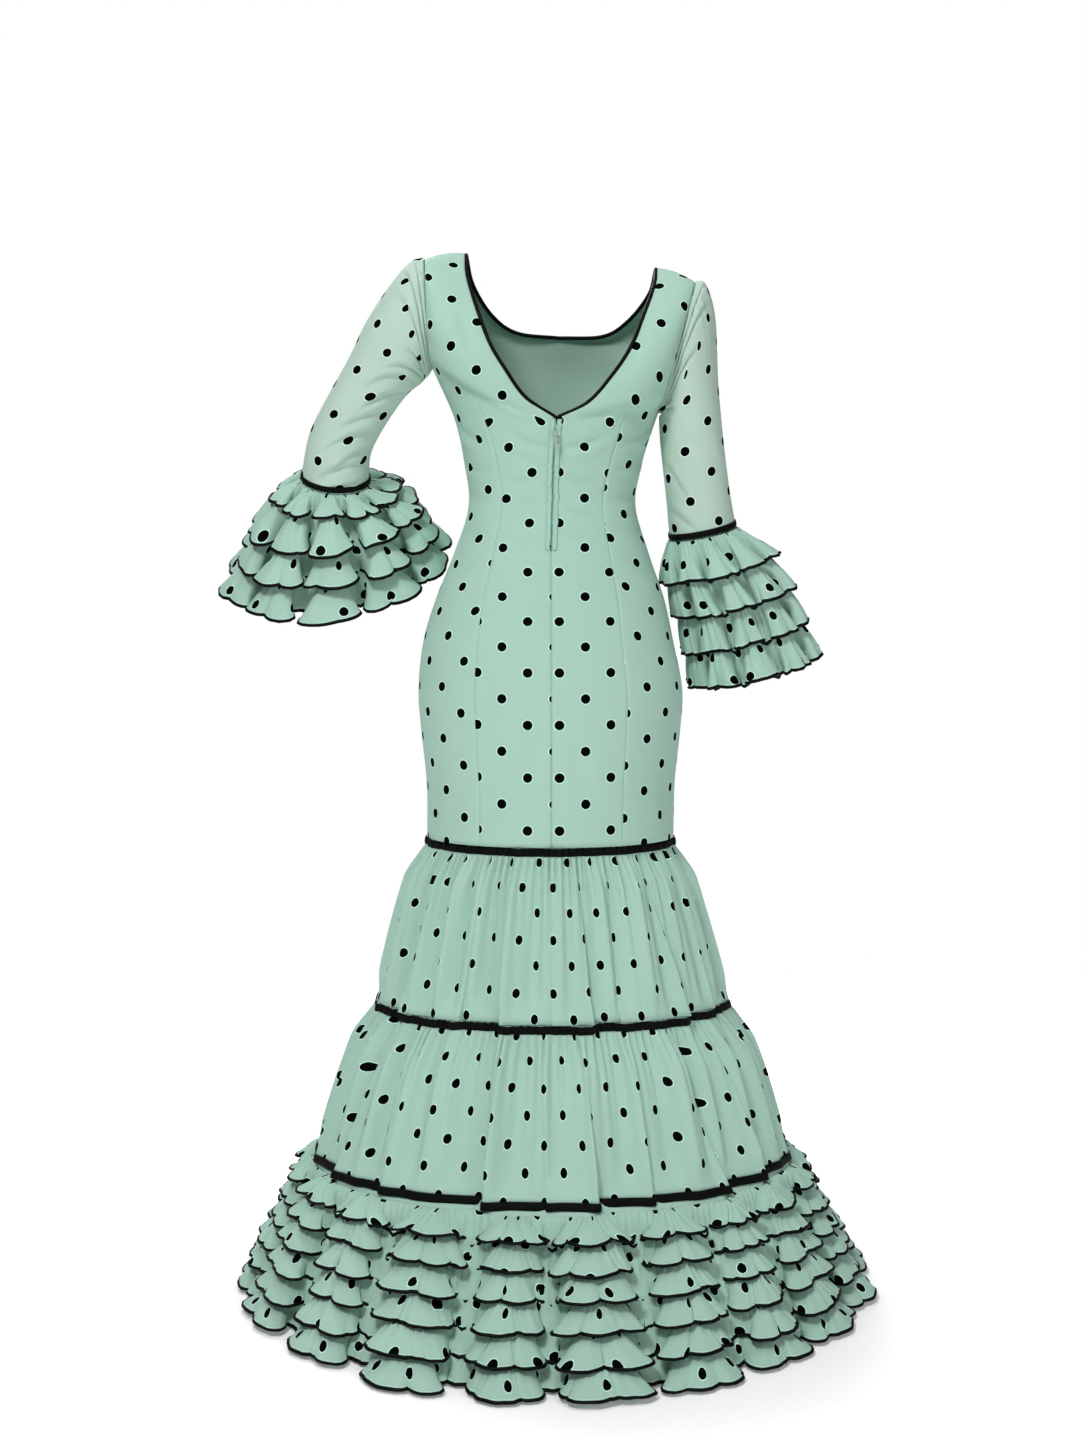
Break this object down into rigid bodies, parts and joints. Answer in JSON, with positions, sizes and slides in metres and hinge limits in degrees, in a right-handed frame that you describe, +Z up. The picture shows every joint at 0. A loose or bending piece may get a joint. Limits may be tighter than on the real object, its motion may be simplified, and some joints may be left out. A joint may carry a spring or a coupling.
{
  "type": "flamenco dress",
  "caption": "Worn mint flamenco dress with a deep V back, ruffled bell sleeves and a flared skirt of gathered tiers and hem ruffles.",
  "frame": {"origin": "middle of the wearer's shoulder line, which holds the dress up", "axes": "+Z up, -Y to the wearer's front, +X to the wearer's left"},
  "size_m": [0.9482, 0.9314, 1.4776],
  "materials": {
    "dress_cloth": "matt crepe, mint green with black dots",
    "sleeve_cloth": "matt fine crepe, slightly sheer, mint green with black dots",
    "black_ribbon": "velvet ribbon",
    "black_edging": "satin binding",
    "zip_tape": "woven tape",
    "zip_metal": "painted pale green metal"
  },
  "bodies": {
    "dress": {"back_centre_left": "dress_cloth", "back_centre_right": "dress_cloth", "back_side_left": "dress_cloth", "back_side_right": "dress_cloth", "band_hem": "black_ribbon", "band_knee": "black_ribbon", "band_middle": "black_ribbon", "front_centre": "dress_cloth", "front_side_left": "dress_cloth", "front_side_right": "dress_cloth", "hem_base": "dress_cloth", "hem_edging_1": "black_edging", "hem_edging_2": "black_edging", "hem_edging_3": "black_edging", "hem_edging_4": "black_edging", "hem_edging_5": "black_edging", "hem_edging_6": "black_edging", "hem_ruffle_1": "dress_cloth", "hem_ruffle_2": "dress_cloth", "hem_ruffle_3": "dress_cloth", "hem_ruffle_4": "dress_cloth", "hem_ruffle_5": "dress_cloth", "hem_ruffle_6": "dress_cloth", "neck_piping": "black_edging", "skirt_tier_1": "dress_cloth", "skirt_tier_2": "dress_cloth", "sleeve_band_left": "black_ribbon", "sleeve_band_right": "black_ribbon", "sleeve_base_left": "dress_cloth", "sleeve_base_right": "dress_cloth", "sleeve_edging_left_1": "black_edging", "sleeve_edging_left_2": "black_edging", "sleeve_edging_left_3": "black_edging", "sleeve_edging_left_4": "black_edging", "sleeve_edging_right_1": "black_edging", "sleeve_edging_right_2": "black_edging", "sleeve_edging_right_3": "black_edging", "sleeve_edging_right_4": "black_edging", "sleeve_left": "sleeve_cloth", "sleeve_right": "sleeve_cloth", "sleeve_ruffle_left_1": "dress_cloth", "sleeve_ruffle_left_2": "dress_cloth", "sleeve_ruffle_left_3": "dress_cloth", "sleeve_ruffle_left_4": "dress_cloth", "sleeve_ruffle_right_1": "dress_cloth", "sleeve_ruffle_right_2": "dress_cloth", "sleeve_ruffle_right_3": "dress_cloth", "sleeve_ruffle_right_4": "dress_cloth", "zip_slider": "zip_metal", "zip_tape_left": "zip_tape", "zip_tape_right": "zip_tape"},
    "zip_pull": {"zip_pull": "zip_metal"}
  },
  "joints": [
    {"name": "zip_pull_swing", "type": "hinge", "parent": "dress", "child": "zip_pull", "pos_m": [-0.006, 0.1108, -0.234], "axis": [1, 0, 0], "range_deg": [0, 150]}
  ]
}
